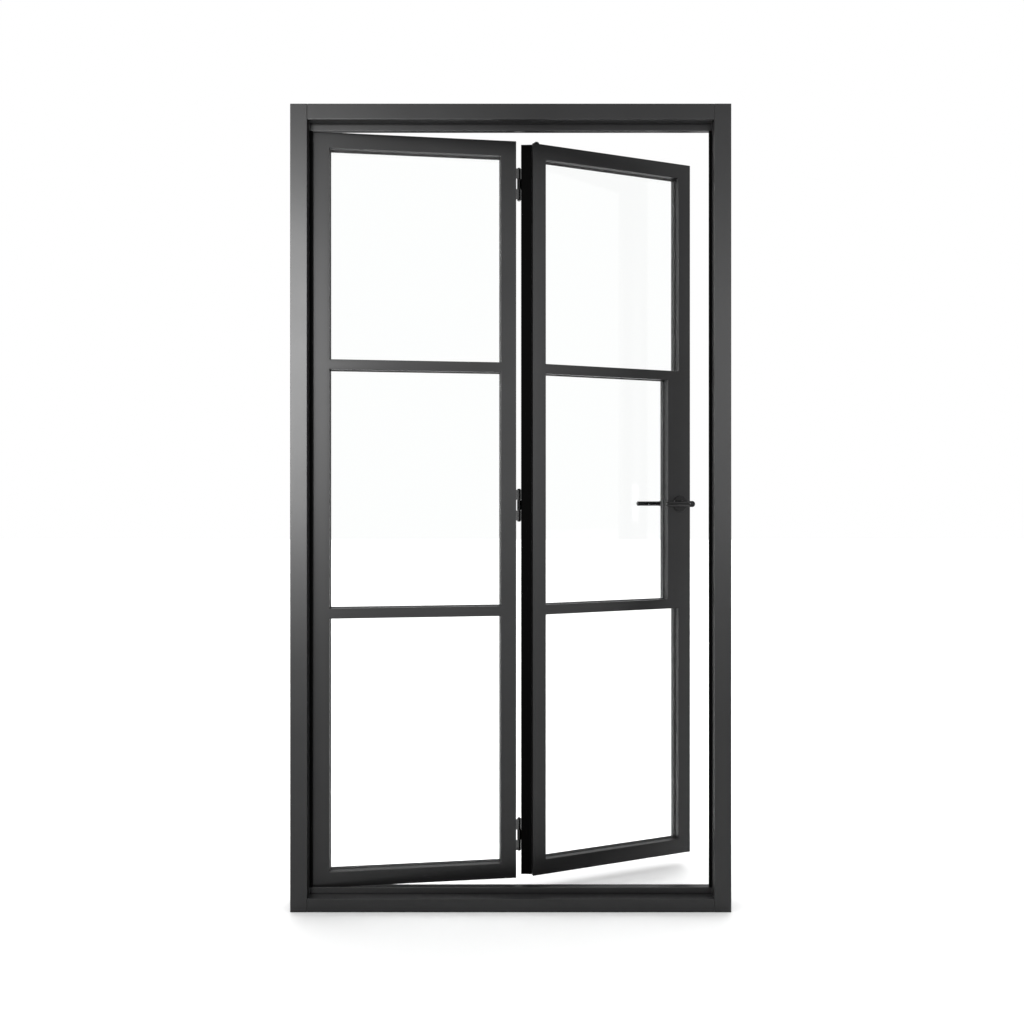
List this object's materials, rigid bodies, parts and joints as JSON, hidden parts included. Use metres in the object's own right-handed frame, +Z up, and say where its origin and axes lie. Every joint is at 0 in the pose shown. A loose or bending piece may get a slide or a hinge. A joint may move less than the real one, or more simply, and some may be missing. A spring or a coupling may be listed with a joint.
{
  "type": "bifold door",
  "caption": "Glazed metal bifold door in its frame: two hinged leaves with glazing bars fold away, with a lever lock on the free edge.",
  "frame": {"origin": "on the floor under the middle of the frame, at the middle of its depth", "axes": "+X across towards the lock jamb, +Y away from the front towards the side the leaves open to, +Z up"},
  "size_m": [1.2, 0.3892, 2.2],
  "materials": {
    "powder_coat": "satin",
    "black_rubber": "matte",
    "clear_glass": "clear",
    "steel": "brushed"
  },
  "bodies": {
    "frame": {"jamb_left": "powder_coat", "jamb_right": "powder_coat", "head": "powder_coat", "sill": "powder_coat", "head_stop": "powder_coat", "sill_stop": "powder_coat", "jamb_seal_left": "black_rubber", "jamb_seal_right": "black_rubber", "strike_plate": "steel", "strike_screws": "steel", "jamb_hinge_frame_plates": "powder_coat", "jamb_hinge_pins": "powder_coat", "jamb_hinge_frame_screws": "powder_coat"},
    "leaf_1": {"leaf_1_hinge_stile": "powder_coat", "leaf_1_meeting_stile": "powder_coat", "leaf_1_top_rail": "powder_coat", "leaf_1_bottom_rail": "powder_coat", "leaf_1_upper_bar": "powder_coat", "leaf_1_lower_bar": "powder_coat", "leaf_1_top_pane": "clear_glass", "leaf_1_middle_pane": "clear_glass", "leaf_1_bottom_pane": "clear_glass", "leaf_1_gaskets": "black_rubber", "leaf_1_top_bead": "powder_coat", "leaf_1_middle_bead": "powder_coat", "leaf_1_bottom_bead": "powder_coat", "jamb_hinge_leaf_plates": "powder_coat", "jamb_hinge_leaf_screws": "powder_coat", "meeting_hinge_pin_plates": "powder_coat", "meeting_hinge_pins": "powder_coat", "meeting_hinge_leaf_1_screws": "powder_coat"},
    "leaf_2": {"leaf_2_hinge_stile": "powder_coat", "leaf_2_lock_stile": "powder_coat", "leaf_2_top_rail": "powder_coat", "leaf_2_bottom_rail": "powder_coat", "leaf_2_upper_bar": "powder_coat", "leaf_2_lower_bar": "powder_coat", "leaf_2_top_pane": "clear_glass", "leaf_2_middle_pane": "clear_glass", "leaf_2_bottom_pane": "clear_glass", "leaf_2_gaskets": "black_rubber", "leaf_2_top_bead": "powder_coat", "leaf_2_middle_bead": "powder_coat", "leaf_2_bottom_bead": "powder_coat", "leaf_2_edge_seal": "black_rubber", "leaf_2_guide_pin": "powder_coat", "meeting_hinge_free_plates": "powder_coat", "meeting_hinge_leaf_2_screws": "powder_coat", "lock_box": "powder_coat", "lock_case": "steel", "lock_faceplate": "steel", "faceplate_screws": "steel", "rose_front": "powder_coat", "rose_rear": "powder_coat"},
    "lever": {"lever_front": "powder_coat", "lever_rear": "powder_coat", "lever_spindle": "steel", "lock_hub": "steel"},
    "latch": {"latch_bolt": "steel"}
  },
  "joints": [
    {"name": "leaf_1_swing", "type": "hinge", "parent": "frame", "child": "leaf_1", "pos_m": [-0.563, 0.051, 1.1], "axis": [0, 0, 1], "range_deg": [-6.5, 83.5]},
    {"name": "leaf_2_fold", "type": "hinge", "parent": "leaf_1", "child": "leaf_2", "pos_m": [0.0242, 0.1179, 1.1], "axis": [0, 0, 1], "range_deg": [-12.5, 152.5]},
    {"name": "lever_turn", "type": "hinge", "parent": "leaf_2", "child": "lever", "pos_m": [0.50643, 0.25011, 1.109], "axis": [0.3256, -0.9455, 0], "range_deg": [0, 45], "stiffness_Nm_per_rad": 1.2, "springref_deg": -34.38},
    {"name": "latch_slide", "type": "slide", "parent": "leaf_2", "child": "latch", "axis": [0.9455, 0.3256, 0], "range_m": [-0.011, 0]}
  ],
  "couplings": [
    {"joint": "latch_slide", "follows": "lever_turn", "m_per_rad": -0.014001}
  ]
}
